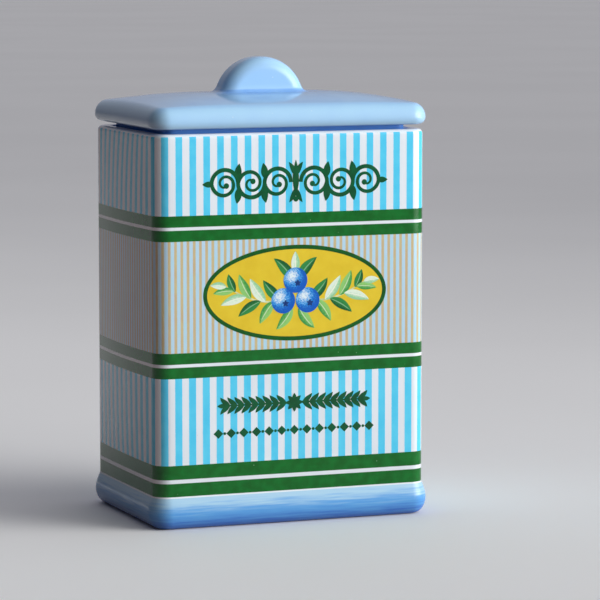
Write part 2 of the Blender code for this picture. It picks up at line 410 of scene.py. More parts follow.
# %% The pot, ring by ring
def make_body():
    """The whole section as (inset, height), ring by ring, with a finish for each run of rings."""
    under = [(FOOT_INNER + RECESS_RING, FOOT_RECESS), (FOOT_INNER + FOOT_RECESS, FOOT_RECESS)]
    foot = [(FOOT_INNER, FOOT_EDGE), (FOOT_INNER - FOOT_EDGE, 0.0)]
    foot += [(BASE_UNDERCUT + FOOT_MARGIN, 0.0)]
    reach = BASE_SWELL + BASE_UNDERCUT
    lower = arc(BASE_UNDERCUT, BASE_WIDEST_Z, -reach, BASE_WIDEST_Z, -90, 0, 12)
    upper_z = np.linspace(BASE_WIDEST_Z, BASE_GLAZE_TOP, 9)[1:]
    upper = [(-swell_at(z), z) for z in upper_z]
    wall = [(-swell_at(z), z) for z in BASE_LINE]
    wall += [(0.0, z) for z in np.linspace(BASE_TOP, RIM_Z - RIM_ROUND, 37)[1:]]
    over = arc(RIM_ROUND, RIM_Z - RIM_ROUND, -RIM_ROUND, RIM_ROUND, 0, 90)[1:]
    outer = [wall_ring(*at) for at in under + foot + lower + upper + wall + over]
    back = arc(-RIM_ROUND, RIM_Z - RIM_ROUND, RIM_ROUND, RIM_ROUND, 90, 0)
    fillet_z = FLOOR_Z + FLOOR_FILLET
    down = [(0.0, z) for z in np.linspace(RIM_Z - RIM_ROUND, fillet_z, 20)[1:-1]]
    fillet = arc(FLOOR_FILLET, fillet_z, -FLOOR_FILLET, FLOOR_FILLET, 0, -90)
    level = [(inset, FLOOR_Z) for inset in FLOOR_RINGS]
    inner = [mouth_ring(*at) for at in back + down + fillet + level]
    marks = [2] * len(under + foot) + [1] * (len(lower + upper) - 1)
    marks += [0] * (len(outer + inner) - len(marks))
    finishes = (white_glaze, base_glaze, bare_clay)
    return loft("glazed_body", outer + inner, finishes, marks, (FOOT_RECESS, FLOOR_Z))


body = make_body()
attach(body, "jar")
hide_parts("jar_body")

# %% [markdown]
# ## The printed sleeves
#
# The pattern on the walls is a transfer: a thin printed film, slid onto the glazed pot and fired
# until it sinks in. It could be painted into the body's own material, but then one picture map
# would have to hold the whole pot when the model is exported, and stripes a millimetre wide would
# blur. So the film is made as it is in life, as closed sleeves a few hundredths of a millimetre
# proud of the wall, one for each zone of the pattern. Each sleeve carries two maps: `print`
# unrolls it in metres, for drawing on, and `OFBake` lays its four walls out side by side, for an
# export.

# %% The transfer, unrolled
FILM_PROUD = 0.00005
FILM_SUNK = 0.00012
ROW_HEIGHT = 0.004
# the export's map, as (start, length): the film's front and back across, its wall and edges up
MAP_FRONT, MAP_BACK = (0.01, 0.82), (0.86, 0.13)
MAP_UP, MAP_TOP_EDGE, MAP_LOW_EDGE = (0.02, 0.96), (0.985, 0.01), (0.005, 0.01)
MAP_WALL = 0.119

wall_line = wall_ring(0.0, 0.0)[:, :2]
steps_round = np.linalg.norm(np.roll(wall_line, -1, axis=0) - wall_line, axis=1)
GIRTH = steps_round.sum()
UNROLLED = np.concatenate([[0.0], np.cumsum(steps_round)]) - GIRTH / 2
print("the transfer is", round(1000 * GIRTH, 1), "mm long")

# %% Sleeves
def rim_inset(z):
    """How far the wall has drawn in at height z, on its way over the rim."""
    over = max(z - (RIM_Z - RIM_ROUND), 0.0)
    return RIM_ROUND - math.sqrt(RIM_ROUND**2 - over**2)


def mid_corners():
    """The places in a ring, one in the middle of each corner, where the export's map is cut."""
    diagonal = np.abs(np.abs(TURN_X) - np.abs(TURN_Y)) < 1e-6
    return list(np.flatnonzero(diagonal & (np.abs(TURN_X) > 0.1)))


def add_map(mesh, name, places, active=False):
    """A UV map, from one place for each corner of each face."""
    layer = mesh.uv_layers.new(name=name)
    layer.data.foreach_set("uv", np.asarray(places, np.float32).ravel())
    layer.active_render = active


def make_sleeve(name, low, high, finish):
    """A closed film round the pot between two heights."""
    heights = np.linspace(low, high, max(3, round((high - low) / ROW_HEIGHT)))
    if high > RIM_Z - RIM_ROUND:
        flat = [z for z in heights if z < RIM_Z - RIM_ROUND]
        heights = np.array(flat + list(np.linspace(RIM_Z - RIM_ROUND, high, 4)))
    outside = [wall_ring(rim_inset(z) - FILM_PROUD, z) for z in heights]
    inside = [wall_ring(rim_inset(z) + FILM_SUNK, z) for z in heights[::-1]]
    sleeve = loft(name, outside + inside, (finish,))
    rows = len(heights)
    cuts = mid_corners()
    print_map, bake_map = [], []
    for row in range(2 * rows):
        low_z, high_z = (heights[min(k, 2 * rows - 1 - k)] for k in (row, (row + 1) % (2 * rows)))
        for i in range(len(wall_line)):
            wall = sum(i >= cut for cut in cuts) % 4
            start = UNROLLED[cuts[wall - 1]] if wall else UNROLLED[cuts[3]] - GIRTH
            left, right = UNROLLED[i], UNROLLED[i + 1]
            print_map += [(left, low_z), (right, low_z), (right, high_z), (left, high_z)]
            if wall == 0 and i >= cuts[3]:
                left, right = left - GIRTH, right - GIRTH
            first, length = MAP_BACK if rows <= row < 2 * rows - 1 else MAP_FRONT
            u = first + length * (np.array([left - start, right - start]) / MAP_WALL)
            up = MAP_UP[0] + MAP_UP[1] * (np.array([low_z, high_z]) - low) / (high - low)
            if row in (rows - 1, 2 * rows - 1):
                edge, rise = MAP_TOP_EDGE if row == rows - 1 else MAP_LOW_EDGE
                up = np.array([edge, edge + rise])
            v = (wall + up) / 4
            bake_map += [(u[0], v[0]), (u[1], v[0]), (u[1], v[1]), (u[0], v[1])]
    add_map(sleeve.data, "print", print_map, active=True)
    add_map(sleeve.data, "OFBake", bake_map)
    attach(sleeve, "jar")


# %% [markdown]
# ## Stripes and bands
#
# The upright stripes are sky blue on white above and below, and fine gold on pale blue in the
# middle. All of them are one idea: fold the distance round the jar back and forth over half a
# pitch, and what comes out is the distance from the nearest stripe's middle. Where that is less
# than half a stripe, there is ink. Ink soaks a little, so each edge is soft and wanders by a few
# hundredths of a millimetre.

# %% Printed finishes
GREEN = "056E26"
GREEN_DEEP = "035D1B"
INK_SOFT = 0.00007
INK_WANDER = 0.00016


def print_place(finish):
    """Distance round the jar, from the middle of the front, and height, both in metres."""
    unrolled = finish.add("UVMap", uv_map="print").outputs[0]
    spread = finish.add("SeparateXYZ", unrolled).outputs
    wander = finish.math("MULTIPLY_ADD", finish.noise(0.0011, 2.0), INK_WANDER, -INK_WANDER / 2)
    return finish.math("ADD", spread[0], wander), spread[1]


def line_share(finish, away, width):
    """1 on a line of this width and 0 beside it, from the distance to the line's middle."""
    return finish.ramp(away, width / 2 - INK_SOFT, width / 2 + INK_SOFT, 1.0, 0.0)


def printed_stripes(name, middle, width, count, ink, ink_deep, ground=()):
    """Upright stripes, count of them round the jar, one with its middle at that distance."""
    finish = Finish(name, **SHINE)
    around, _ = print_place(finish)
    away = finish.math("PINGPONG", finish.math("SUBTRACT", around, middle), GIRTH / count / 2)
    share = line_share(finish, away, width)
    cloudy = finish.ramp(finish.noise(0.006, 3.0), 0.3, 0.7)
    under = finish.mix(cloudy, *ground) if ground else white_ground(finish)
    inked = finish.mix(cloudy, ink, ink_deep)
    return fired(finish, finish.mix(share, under, inked))


def printed_band(name, low_line, high_line):
    """A green finish with one white line between two heights."""
    finish = Finish(name, **SHINE)
    _, height = print_place(finish)
    away = finish.math("ABSOLUTE", finish.math("SUBTRACT", height, (low_line + high_line) / 2))
    line = line_share(finish, away, high_line - low_line)
    cloudy = finish.ramp(finish.noise(0.0045, 4.0), 0.3, 0.7)
    green = finish.mix(cloudy, GREEN, GREEN_DEEP)
    green = pinholes(finish, green, 0.7, "7FB98C")
    return fired(finish, finish.mix(line, green, white_ground(finish)))


# %% Print every zone
SKY = dict(count=65, ink="5AD2F7", ink_deep="4ECAF3")
GOLD = dict(count=145, ink="C8BB8F", ink_deep="C3B08B", ground=("ACD8EE", "B6D7EE"))
ZONES = (
    ("print_green_low", 0.0135, 0.0268, printed_band("green_low", 0.01936, 0.02096)),
    ("print_sky_low", 0.0268, 0.0628, printed_stripes("sky_low", -0.00245, 0.0031, **SKY)),
    ("print_green_middle", 0.0628, 0.0733, printed_band("green_middle", 0.06738, 0.06869)),
    ("print_gold", 0.0733, 0.1192, printed_stripes("gold", -0.0005, 0.0012, **GOLD)),
    ("print_green_high", 0.1192, 0.1297, printed_band("green_high", 0.12378, 0.12507)),
    ("print_sky_high", 0.1297, 0.1620, printed_stripes("sky_high", -0.0020, 0.00294, **SKY)),
)
for zone in ZONES:
    make_sleeve(*zone)

# %% [markdown]
# ## Flat printed shapes
#
# The front wall carries drawn ornament on top of the stripes. It could be drawn with nodes as
# well, but leaves and scrolls are easier to place as shapes. Each shape is a small grid of points
# on the wall, bent into a leaf, a ribbon or a disc. A Solidify modifier then gives the whole
# drawing the thickness of its film. Shapes are drawn in millimetres from the middle of their
# place, and mirrored left to right.

# %% Grids bent into shapes
MM = 0.001
FIRST_LIFT, GARLAND_LIFT, SHAPE_LIFT = 0.00008, 0.00010, 0.000002


def curve(corners, steps=16):
    """Points along a smooth curve that is steered by two or more corners."""
    corners = np.array(corners, float)
    line = []
    for share in np.linspace(0, 1, steps + 1):
        pulled = corners
        while len(pulled) > 1:
            pulled = pulled[:-1] * (1 - share) + pulled[1:] * share
        line.append(pulled[0])
    return np.array(line)


def ribbon(line, half_widths, across=2):
    """A strip along a line: an array of points, one row for each point of the line."""
    ahead = np.gradient(line, axis=0)
    ahead /= np.linalg.norm(ahead, axis=1)[:, None]
    aside = np.stack([-ahead[:, 1], ahead[:, 0]], 1)
    shares = np.linspace(-1, 1, across + 1)
    reach = np.broadcast_to(half_widths, len(line))[:, None, None] * shares[None, :, None]
    return line[:, None, :] + aside[:, None, :] * reach


def leaf(base, tip, width, bend=0.0):
    """A leaf from base to tip that bows to one side."""
    base, tip = np.array(base, float), np.array(tip, float)
    run = tip - base
    middle = (base + tip) / 2 + bend * np.array([-run[1], run[0]])
    share = np.linspace(0, 1, 17)
    half = width / 2 * np.sin(math.pi * share**0.85) ** 0.85 + 0.03
    return ribbon(curve([base, middle, tip]), half, 4)


def disc(middle, half_x, half_z, steps=8):
    """A round or oval patch made of four-sided faces only."""
    across, up = np.meshgrid(*[np.linspace(-1, 1, steps + 1)] * 2)
    x = across * np.sqrt(1 - up**2 / 2)
    z = up * np.sqrt(1 - across**2 / 2)
    return np.stack([middle[0] + half_x * x, middle[1] + half_z * z], 2)


# %% Gathering shapes into one printed piece
class Drawing:
    """Flat shapes on the front wall around one place, later ones on top."""

    def __init__(self, middle_x, middle_z, lift):
        self.middle = middle_x, middle_z
        self.lift = lift
        self.points, self.faces, self.marks, self.places = [], [], [], []

    def put(self, grid, mark=0):
        """A grid of points, turned so that it faces the viewer, in the ink with that number."""
        rows, columns = grid.shape[:2]
        middle = rows // 2
        right, up = grid[middle, 1] - grid[middle, 0], grid[middle, 0] - grid[middle - 1, 0]
        if right[0] * up[1] - right[1] * up[0] < 0:
            grid = grid[:, ::-1]
        start = len(self.points)
        y = -WALL_Y - self.lift
        for x, z in grid.reshape(-1, 2):
            self.points.append((self.middle[0] + x * MM, y, self.middle[1] + z * MM))
        for row in range(rows - 1):
            for column in range(columns - 1):
                spots = [(row + r, column + c) for r, c in ((0, 0), (0, 1), (1, 1), (1, 0))]
                self.faces.append([start + r * columns + c for r, c in spots])
                self.places += [(c / (columns - 1), r / (rows - 1)) for r, c in spots]
                self.marks.append(mark)
        self.lift += SHAPE_LIFT

    def put_pair(self, grid, mark=0):
        """A shape and its mirror image."""
        self.put(grid, mark)
        self.put(grid * (-1, 1), mark)

    def make(self, name, finishes):
        """All shapes so far as one piece with the thickness of its film."""
        made = make_piece(name, self.points, self.faces, self.marks, finishes)
        add_map(made.data, "shape", self.places, active=True)
        flat = np.array(self.points)[:, [0, 2]]
        flat = 0.01 + 0.98 * (flat - flat.min(0)) / (flat.max(0) - flat.min(0))
        add_map(made.data, "OFBake", flat[[corner.vertex_index for corner in made.data.loops]])
        film = made.modifiers.new("film", "SOLIDIFY")
        film.thickness = FILM_PROUD
        film.offset = -1.0
        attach(made, "jar")
        print(name, "holds", len(set(self.marks)), "inks on", len(self.faces), "faces")


# %% [markdown]
# ## Painted inks
#
# The picture's inks look like watercolour under glaze: each leaf is darker on one side of a pale
# vein, each fruit is stippled from deep blue to nearly white where light falls on it, and every
# tone is a little cloudy. The `shape` map says how far along and across its own shape each point
# lies, so one finish serves all leaves of a tone.

# %% Leaf, fruit and plain inks
def plain_ink(name, light, dark, cloud):
    """One tone, a little cloudy, with pinholes."""
    finish = Finish(name, **SHINE)
    cloudy = finish.ramp(finish.noise(cloud, 4.0), 0.3, 0.7)
    colour = finish.mix(cloudy, light, dark)
    return fired(finish, pinholes(finish, colour, 0.6, "EDE6C8"))


def shape_place(finish):
    """How far across and along its own shape a point lies, both from 0 to 1."""
    return finish.add("SeparateXYZ", finish.add("UVMap", uv_map="shape").outputs[0]).outputs


def leaf_ink(name, light, dark, vein):
    """Darker towards one side, with a vein that fades before the tip."""
    finish = Finish(name, **SHINE)
    across, along = shape_place(finish)[:2]
    brush = finish.noise(0.0009, 3.0)
    brushed = finish.math("MULTIPLY", brush, 0.6)
    shade = finish.math("ADD", finish.math("MULTIPLY", across, 0.7), brushed)
    colour = finish.mix(finish.ramp(shade, 0.45, 0.95), light, dark)
    off_vein = finish.math("ABSOLUTE", finish.math("SUBTRACT", across, 0.5))
    line = finish.ramp(off_vein, 0.03, 0.075, 0.75, 0.0)
    fade = finish.ramp(along, 0.75, 0.95, 1.0, 0.0)
    return fired(finish, finish.mix(finish.math("MULTIPLY", line, fade), colour, vein))


def fruit_ink(name):
    """Stippled from nearly white, up on the left, to deep blue."""
    finish = Finish(name, **SHINE)
    across, up = shape_place(finish)[:2]
    aside = finish.math("POWER", finish.math("SUBTRACT", across, 0.33), 2.0)
    below = finish.math("POWER", finish.math("SUBTRACT", up, 0.68), 2.0)
    from_light = finish.math("SQRT", finish.math("ADD", aside, below))
    stipple = finish.math("MULTIPLY_ADD", finish.noise(0.00034, 3.0), 0.8, -0.40)
    dappled = finish.math("ADD", from_light, stipple)
    blue = finish.mix(finish.ramp(dappled, 0.26, 0.56), "37A0E8", "0B5BC2")
    return fired(finish, finish.mix(finish.ramp(dappled, 0.02, 0.34), "E3F3FA", blue))


RIM_GREEN = plain_ink("oval_rim_green", "065C1C", "044D15", 0.004)
YELLOW = plain_ink("oval_yellow", "E1C934", "DABF2B", 0.008)
STEM = plain_ink("stem_cream", "DCE3B4", "B9C98C", 0.002)
DARK_LEAF = leaf_ink("dark_leaf", "2F8A45", "125B2E", "8CC79A")
MID_LEAF = leaf_ink("mid_leaf", "8CCB72", "3F9B4C", "D5EDC4")
PALE_LEAF = leaf_ink("pale_leaf", "DDF1E0", "93CFA0", "F4FAEC")
FRUIT = fruit_ink("blue_fruit")
FRUIT_CROWN = plain_ink("fruit_crown", "123E86", "0E2F66", 0.001)
ORNAMENT_GREEN = plain_ink("ornament_green", "055B34", "044C29", 0.003)

# %% [markdown]
# ## The oval picture
#
# A yellow oval with a green rim sits in the middle of the gold stripes. Inside it is a garland of
# a plain traditional kind, in the colours such jars have: three round blue fruits, and a leafy
# twig to each side, the right half the mirror of the left. Twigs go down first, then leaves, then
# the fruit.

# %% The oval and its garland
OVAL_X, OVAL_Z = 0.0008, 0.0964
OVAL_HALF = (40.6, 19.9)
OVAL_RIM = 1.75

oval = Drawing(OVAL_X, OVAL_Z, FIRST_LIFT)
oval.put(disc((0, 0), *OVAL_HALF, steps=40), 0)
oval.put(disc((0, 0), OVAL_HALF[0] - OVAL_RIM, OVAL_HALF[1] - OVAL_RIM, steps=40), 1)
oval.make("oval_ground", (RIM_GREEN, YELLOW))

TWIG = curve([(2, -1), (12, -6.5), (22, -1.5), (30.5, 3.5)], 40)
# share along the twig, side, turn from the twig in degrees, length, width, tone
TWIG_LEAVES = (
    (0.16, 1, 62, 11.5, 4.4, 0),
    (0.24, -1, 50, 11.0, 4.2, 1),
    (0.38, 1, 50, 12.0, 4.4, 2),
    (0.46, -1, 42, 11.5, 4.0, 0),
    (0.60, 1, 44, 11.5, 4.2, 1),
    (0.68, -1, 38, 11.5, 4.0, 2),
    (0.84, 1, 40, 8.0, 3.4, 0),
    (0.88, -1, 34, 9.0, 3.2, 1),
)
FRUITS = ((-5.4, -3.2), (5.4, -3.2), (0, 5.2))
FRUIT_RADIUS = 5.3
garland = Drawing(OVAL_X, OVAL_Z, GARLAND_LIFT)
garland.put_pair(ribbon(TWIG, np.linspace(0.55, 0.22, len(TWIG))), 0)
for share, side, turn, length, width, tone in TWIG_LEAVES:
    here = round(share * (len(TWIG) - 1))
    base = TWIG[here]
    ahead = TWIG[min(here + 1, len(TWIG) - 1)] - TWIG[here - 1]
    angle = math.atan2(ahead[1], ahead[0]) + side * math.radians(turn)
    tip = base + length * np.array([math.cos(angle), math.sin(angle)])
    garland.put_pair(leaf(base, tip, width, -0.10 * side), 1 + tone)
garland.put_pair(leaf(TWIG[-1], TWIG[-1] + (7.0, 0.8), 3.0, 0.08), 3)
garland.put_pair(leaf((1.0, 5.0), (9.5, 14.5), 4.4, 0.12), 1)
garland.put_pair(leaf((1.5, -6.0), (8.5, -15.0), 4.2, -0.12), 2)
garland.put(leaf((0, 8), (0, 17.2), 3.8), 3)
for x, z in FRUITS:
    garland.put(disc((x, z), FRUIT_RADIUS, FRUIT_RADIUS), 4)
    crown_x, crown_z = x + 1.0, z - 1.2
    for point in range(5):
        angle = math.radians(90 + 72 * point)
        tip = (crown_x + 1.5 * math.cos(angle), crown_z + 1.5 * math.sin(angle))
        garland.put(leaf((crown_x, crown_z), tip, 0.9), 5)
garland.make("oval_garland", (STEM, DARK_LEAF, MID_LEAF, PALE_LEAF, FRUIT, FRUIT_CROWN))

# %% [markdown]
# ## Ornament above and below
#
# Over the oval runs a green scroll: half circles in a row, up and down by turns, each with a
# tendril that curls up inside it. This running scroll is a very old border. Under the oval lie a
# leaf garland and a row of lozenges and dots. All three are mirrored about their middle.

# %% Running scroll
SCROLL_X, SCROLL_Z = 0.0010, 0.1423
ARCH = 5.8
ARCHES = 3
MIDDLE_GAP = 2.2
CURL_TURN = -490
CURL_SHRINK = 0.82


def arch_line(centre, side, start, end, steps, shrink=0.0):
    """Points of an arch or its curl: angles in degrees, its radius shrinking along the way."""
    share = np.linspace(0, 1, steps + 1)
    angle = np.radians(start + (end - start) * share)
    radius = ARCH * (1 - shrink * share**0.85)
    return np.stack([centre + radius * np.cos(angle), side * radius * np.sin(angle)], 1)


scroll = Drawing(SCROLL_X, SCROLL_Z, FIRST_LIFT)
for number in range(ARCHES):
    centre = MIDDLE_GAP + ARCH * (2 * number + 1)
    side = (-1) ** number
    scroll.put_pair(ribbon(arch_line(centre, side, 180, 0, 24), 0.85))
    curl = arch_line(centre, side, 0, CURL_TURN, 60, CURL_SHRINK)
    scroll.put_pair(ribbon(curl, np.linspace(0.82, 0.40, len(curl))))
    scroll.put_pair(disc(curl[-1], 1.15, 1.15, 6))
    joint = centre + ARCH
    if number < ARCHES - 1:
        for up in (-1, 1):
            tip = (joint + 0.6 * up * side, 8.2 * up)
            scroll.put_pair(leaf((joint, 1.8 * up), tip, 3.0, 0.08 * side))
scroll.put_pair(leaf((joint - 0.8, 0), (joint + 4.0, 0), 2.4))
scroll.put(leaf((0, -4.8), (0, 9.2), 2.7))
for up, reach in ((1, 3.1), (-1, 2.9)):
    scroll.put_pair(leaf((0.1, 2.4 * up), (reach, 8.3 * up), 2.1, 0.12 * up))
scroll.put(disc((0, -7.0), 1.1, 1.1, 6))
scroll.make("ornament_high", (ORNAMENT_GREEN,))

# %% Leaf garland and lozenge border
LOWER_X = SCROLL_X - 0.0007
LEAVES_Z, LEAF_PITCH = 0.0506, 3.1
BORDER_Z, LOZENGE_PITCH = 0.0391, 5.6

leaves = Drawing(LOWER_X, LEAVES_Z, FIRST_LIFT)
leaves.put_pair(ribbon(curve([(0, 0), (30.5, 0)], 20), np.linspace(0.5, 0.3, 21)))
for number in range(9):
    base = np.array([3.6 + LEAF_PITCH * number, 0.0])
    for side in (-1, 1):
        tip = base + (4.3, side * 3.5)
        leaves.put_pair(leaf(base, tip, 2.0, -0.14 * side))
leaves.put_pair(leaf((30.2, 0), (34.0, 0), 1.8))
for petal in range(8):
    angle = math.radians(45 * petal)
    leaves.put(leaf((0, 0), (3.9 * math.cos(angle), 3.9 * math.sin(angle)), 1.9))
leaves.make("ornament_garland", (ORNAMENT_GREEN,))

border = Drawing(LOWER_X, BORDER_Z, FIRST_LIFT)
for number in range(7):
    x = LOZENGE_PITCH * number
    lozenge = np.array([[(x - 2.1, 0.0), (x, -2.0)], [(x, 2.0), (x + 2.1, 0.0)]])
    (border.put_pair if number else border.put)(lozenge)
    if number < 6:
        border.put_pair(disc((x + LOZENGE_PITCH / 2, 0), 0.6, 0.6, 4))
border.make("ornament_border", (ORNAMENT_GREEN,))

# %% [markdown]
# ## The lid's glaze
#
# The lid is dipped in a soft cornflower blue. Such a glaze runs thin over edges, where the pale
# clay shows through, and gathers a little deeper on flat places and in the corner round the knob.
# Under the plate and on the collar the blue is painted deeper as well, as painted shade in the gap
# over the rim. So each point of the lid is told, from the shape itself, how thick its glaze lies
# with that painted shade added, and the colour follows that.

# %% Lid glaze
LID_THIN = "A8D4F3"
LID_BLUE = "9ECAF2"
# The deepest blue also serves as painted shade under the plate and on the collar.
LID_DEEP_AND_SHADED = "5F9AE8"

lid_glaze = Finish("lid_glaze", **SHINE)
# The attribute holds the glaze's depth, with painted shade under the plate added.
thickness = lid_glaze.add("Attribute", attribute_name="glaze_depth_and_shade").outputs["Fac"]
cloud = lid_glaze.math("MULTIPLY_ADD", lid_glaze.noise(0.010, 3.0), 0.26, -0.13)
thickness = lid_glaze.math("ADD", thickness, cloud)
blue = lid_glaze.mix(lid_glaze.ramp(thickness, 0.1, 0.5), LID_THIN, LID_BLUE)
blue = lid_glaze.mix(lid_glaze.ramp(thickness, 0.5, 1.0), blue, LID_DEEP_AND_SHADED)
fired(lid_glaze, pinholes(lid_glaze, blue, 0.7, "DCEBF7"))

# %% [markdown]
# ## The lid's shape
#
# Plate, knob and collar are one casting, and the knob grows out of the plate through a small
# fillet. A Boolean would leave a hard crease there. Instead the top is written down as a field: a
# number that is zero on the surface, made from the plate's height and the distance to a
# round-edged disc, melted together where they meet. Rings of points start near that surface, and
# each point then slides along the field's slope until it lies on it.

# %% Plate and knob as one field
CROWN = 0.0044
OVERHANG = 0.0013
PLATE_X, PLATE_Y, PLATE_CORNER = WALL_X + OVERHANG, WALL_Y + OVERHANG, WALL_CORNER + OVERHANG
EDGE_LOW, EDGE_WIDEST, EDGE_TOP = RIM_Z + 0.0019, RIM_Z + 0.0049, RIM_Z + 0.0105
EDGE_ROUND, EDGE_TUCK = 0.0052, 0.0026
KNOB_RADIUS, KNOB_HALF, KNOB_ROUND, KNOB_HEIGHT = 0.0189, 0.0080, 0.0056, 0.0148
KNOB_Z = EDGE_TOP + CROWN + KNOB_HEIGHT - KNOB_RADIUS
FILLET, KNOB_MARGIN = 0.0030, 0.0040


def crown_at(points):
    """How far the plate's top stands above its edge."""
    along = 1 - np.minimum(np.abs(points[:, 0]) / PLATE_X, 1) ** 4.0
    across = 1 - np.minimum(np.abs(points[:, 1]) / PLATE_Y, 1) ** 2.5
    return CROWN * along * across


def lid_field(points):
    """Below zero inside plate or knob, above zero outside."""
    plate = points[:, 2] - EDGE_TOP - crown_at(points)
    reach = np.hypot(points[:, 0], points[:, 2] - KNOB_Z) - (KNOB_RADIUS - KNOB_ROUND)
    aside = np.abs(points[:, 1]) - (KNOB_HALF - KNOB_ROUND)
    outside = np.hypot(np.maximum(reach, 0), np.maximum(aside, 0))
    knob = outside + np.minimum(np.maximum(reach, aside), 0) - KNOB_ROUND
    melt = np.maximum(FILLET - np.abs(plate - knob), 0) / FILLET
    return np.minimum(plate, knob) - melt**2 * FILLET / 4


def onto_surface(points):
    """Each point, moved along the field's slope until the field is zero."""
    tiny, rounds, pace = 0.00001, 30, 0.8
    for _ in range(rounds):
        ahead = [lid_field(points + tiny * axis) for axis in np.eye(3)]
        behind = [lid_field(points - tiny * axis) for axis in np.eye(3)]
        slope = (np.stack(ahead, 1) - np.stack(behind, 1)) / (2 * tiny)
        steep = np.maximum((slope**2).sum(1), 0.05)
        points = points - pace * slope * (lid_field(points) / steep)[:, None]
    return points


# %% Rings of the lid, from inside the hollow to the top of the knob
ROOF_Z = EDGE_TOP - 0.0062
HOLLOW = 0.0055
LIP_Z, LIP_ROUND, LIP_OUTER = RIM_Z - 0.0124, 0.0012, 0.0022
GROOVE_LOW, GROOVE_HIGH = RIM_Z - 0.0094, RIM_Z - 0.0034
COLLAR, GROOVE = 0.0010, 0.0026


def crowned(one):
    """The same ring, lifted by the crown of the plate."""
    one[:, 2] += crown_at(one)
    return one


def plate_ring(inset, z):
    """A ring on the plate's edge, moved inwards by inset."""
    return ring(PLATE_X - inset, PLATE_Y - inset, PLATE_CORNER - inset, z)


def under_rings():
    """The hollow's roof, the collar with the seal's groove, and the plate's flat underside."""
    roof = []
    for share in (0.04, 0.2, 0.4, 0.6, 0.8, 0.94, 1.0):
        one = mouth_ring(HOLLOW, ROOF_Z)
        one[:, :2] *= share
        roof.append(crowned(one))
    lip = arc(HOLLOW - LIP_ROUND, LIP_Z + LIP_ROUND, LIP_ROUND, LIP_ROUND, 0, -90, 5)
    lip += arc(LIP_OUTER, LIP_Z + LIP_ROUND, LIP_ROUND, LIP_ROUND, 270, 180, 5)
    groove = [(COLLAR, GROOVE_LOW), (GROOVE, GROOVE_LOW)]
    groove += [(GROOVE, GROOVE_HIGH), (COLLAR, GROOVE_HIGH)]
    fillet = arc(0.0002, EDGE_LOW - 0.0008, 0.0008, 0.0008, 0, 90, 5)
    collar = [mouth_ring(inset, z) for inset, z in lip + groove + fillet]
    return roof + collar, len(roof), len(lip)


def knob_rings():
    """From just outside the knob's foot, up to its top."""
    foot_z = EDGE_TOP + CROWN
    chord = math.sqrt(KNOB_RADIUS**2 - (foot_z - KNOB_Z) ** 2)
    rings = []
    for out in (0.0030, 0.0022, 0.0016, 0.0011, 0.0007, 0.0003):
        rings.append(ring(chord + out, KNOB_HALF + out, KNOB_ROUND + out, foot_z + 0.0001))
    start = math.asin((foot_z + 0.0002 - KNOB_Z) / KNOB_RADIUS)
    for angle in np.linspace(start, math.radians(89.2), 34):
        height = KNOB_RADIUS * math.sin(angle)
        over = max(height - (KNOB_RADIUS - KNOB_ROUND), 0.0)
        half_y = KNOB_HALF - KNOB_ROUND + math.sqrt(KNOB_ROUND**2 - over**2)
        rings.append(ring(KNOB_RADIUS * math.cos(angle), half_y, KNOB_ROUND, KNOB_Z + height))
    return rings, chord


def top_rings():
    """The plate's top, from the rounded edge inwards to the knob's foot, then the knob."""
    knob, chord = knob_rings()
    start = [size - EDGE_ROUND for size in (PLATE_X, PLATE_Y, PLATE_CORNER)]
    end = [size + KNOB_MARGIN for size in (chord, KNOB_HALF, KNOB_ROUND)]
    rings = []
    for share in np.linspace(0, 1, 19):
        sizes = [a + (b - a) * share for a, b in zip(start, end)]
        rings.append(crowned(ring(*sizes, EDGE_TOP)))
    return [onto_surface(one) for one in rings + knob]


# %% The lid
PLAIN_COAT, EDGE_LOSS, KNOB_SHARE = 0.46, 0.28, 0.6
# The last of these deepens the blue under the plate and on the collar, as painted shade.
FLAT_GAIN, POOL_GAIN, UNDER_SHADE_GAIN = 0.16, 0.2, 0.5


def make_lid():
    """One skin from the hollow's roof round the collar and the edge to the knob's top."""
    under, roof_count, lip_count = under_rings()
    lower = arc(EDGE_TUCK, EDGE_WIDEST, -EDGE_TUCK, EDGE_WIDEST - EDGE_LOW, -90, 0, 12)
    upper = arc(EDGE_ROUND, EDGE_WIDEST, -EDGE_ROUND, EDGE_TOP - EDGE_WIDEST, 0, 90, 14)
    edge = [plate_ring(inset, z) for inset, z in lower]
    edge += [crowned(plate_ring(inset, z)) for inset, z in upper[1:-1]]
    rings = under + edge + top_rings()
    marks = [0] * len(rings)
    for here in range(roof_count + 1, roof_count + lip_count - 1):
        marks[here] = 1
    caps = (ROOF_Z + CROWN, KNOB_Z + KNOB_RADIUS)
    made = loft("glazed_lid", rings, (lid_glaze, bare_clay), ring_finish=marks, caps=caps)
    paint_depth_and_shade(made.data)
    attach(made, "lid")
    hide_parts("lid")


